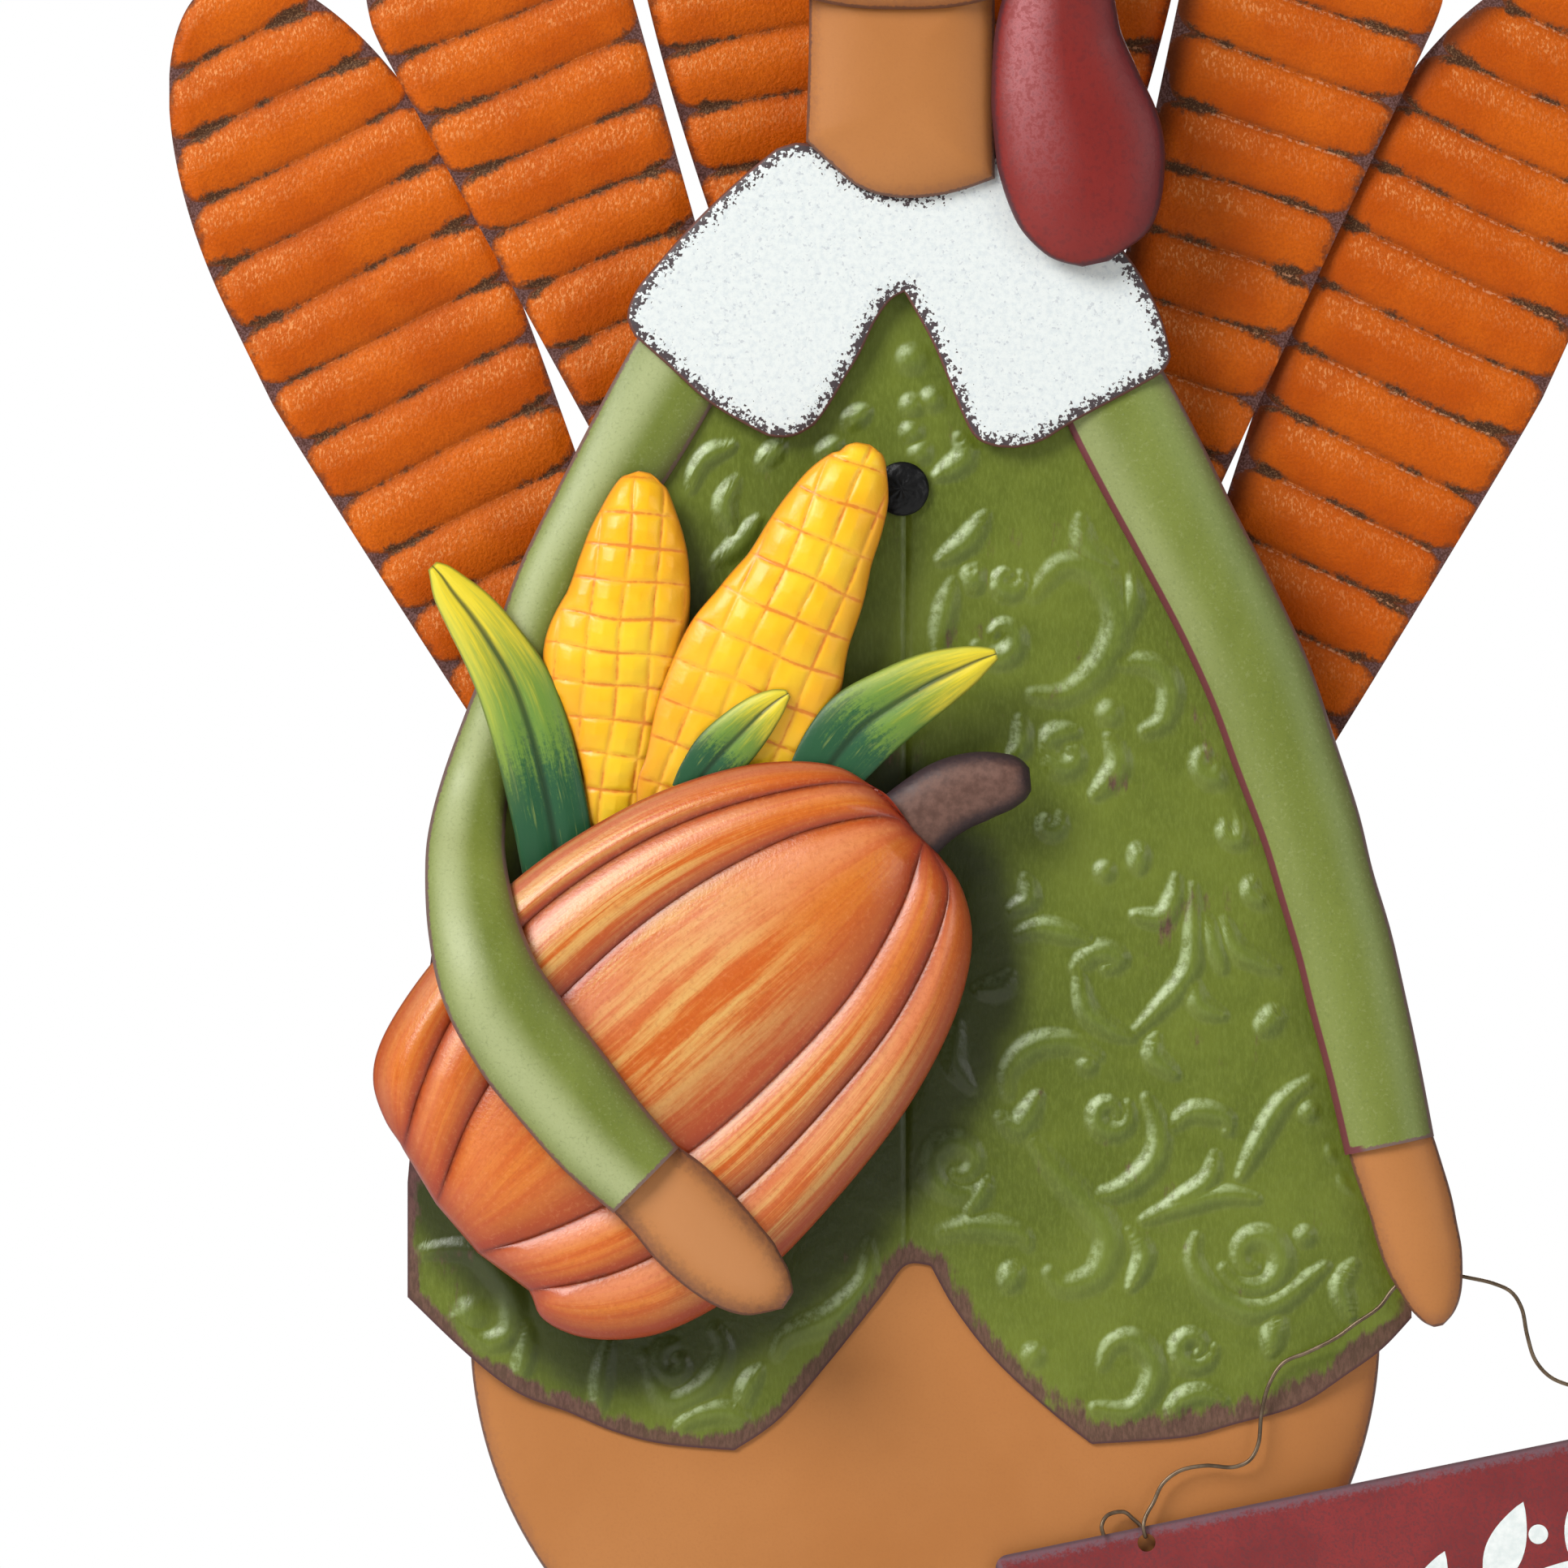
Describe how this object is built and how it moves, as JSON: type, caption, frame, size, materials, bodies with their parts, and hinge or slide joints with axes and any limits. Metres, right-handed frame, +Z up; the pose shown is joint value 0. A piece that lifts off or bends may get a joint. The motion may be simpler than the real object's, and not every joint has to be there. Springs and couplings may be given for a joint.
{
  "type": "turkey yard stake",
  "caption": "Pressed sheet-metal turkey garden decoration on two ground rods, with a fan of ribbed feathers, harvest bundle and a hanging sign board.",
  "frame": {"origin": "centre of the underside of the foot-press bar, which lies on the ground when the rods are pushed in", "axes": "+Z up along the rods, +X to the right of someone who looks at the decorated front, +Y from the front to the back"},
  "size_m": [0.626, 0.1027, 1.0767],
  "materials": {
    "feather": "glossy paint, rubbed dark in the grooves and at the edges",
    "tan": "satin paint with darkened edges",
    "white": "satin paint with speckled dark edges",
    "vest": "semi-gloss paint over an embossed scroll pattern, worn edges",
    "sleeve": "satin paint with worn edges",
    "snood": "satin paint",
    "black": "semi-gloss paint",
    "eye": "gloss paint",
    "beak": "satin paint",
    "hat": "satin paint",
    "band": "satin paint",
    "brass": "metallic paint",
    "pumpkin": "satin paint, brushed yellow along the ribs and dark in the grooves",
    "stem": "matt paint",
    "corn": "gloss paint over an embossed kernel pattern",
    "leaf": "satin paint shaded from yellow tips to dark green",
    "sign": "matt paint with a rubbed border",
    "wire": "annealed wire",
    "steel": "dark satin coating",
    "leg": "satin paint"
  },
  "bodies": {
    "stake": {"left_stake_rod": "steel", "right_stake_rod": "steel", "foot_press_bar": "steel", "left_foot": "leg", "right_foot": "leg", "left_leg": "leg", "right_leg": "leg", "fan_bar": "steel", "left_outer_feather": "feather", "right_outer_feather": "feather", "left_middle_feather": "feather", "right_middle_feather": "feather", "left_inner_feather": "feather", "right_inner_feather": "feather", "left_fan_bolt": "steel", "right_fan_bolt": "steel", "left_fan_nut": "steel", "right_fan_nut": "steel", "left_outer_feather_rivet": "steel", "right_outer_feather_rivet": "steel", "left_inner_feather_rivet": "steel", "right_inner_feather_rivet": "steel", "body_shell": "tan", "left_body_lug": "steel", "right_body_lug": "steel", "vest": "vest", "vest_button": "black", "right_hand": "tan", "right_sleeve": "sleeve", "left_corn_cob": "corn", "right_corn_cob": "corn", "left_leaf": "leaf", "right_leaf": "leaf", "small_leaf": "leaf", "pumpkin": "pumpkin", "pumpkin_stem": "stem", "left_hand": "tan", "left_sleeve": "sleeve", "upper_pumpkin_stud": "steel", "lower_pumpkin_stud": "steel", "right_cob_stud": "steel", "collar": "white", "neck": "tan", "head": "tan", "left_eye": "eye", "right_eye": "eye", "beak": "beak", "snood": "snood", "hat_crown": "hat", "hat_brim": "hat", "hat_band": "band", "hat_buckle": "brass", "back_strap": "steel", "hanger_peg": "steel"},
    "hanger": {"hanger_wire": "wire"},
    "sign": {"sign_board": "sign"}
  },
  "joints": [
    {"name": "hanger_swing", "type": "hinge", "parent": "stake", "child": "hanger", "pos_m": [0.194, -0.02143, 0.271], "axis": [0, 1, 0], "range_deg": [-10, 10]},
    {"name": "sign_flap", "type": "hinge", "parent": "hanger", "child": "sign", "pos_m": [0.18311, -0.02143, 0.19304], "axis": [0.9796, 0, 0.2011], "range_deg": [-25, 2]}
  ]
}
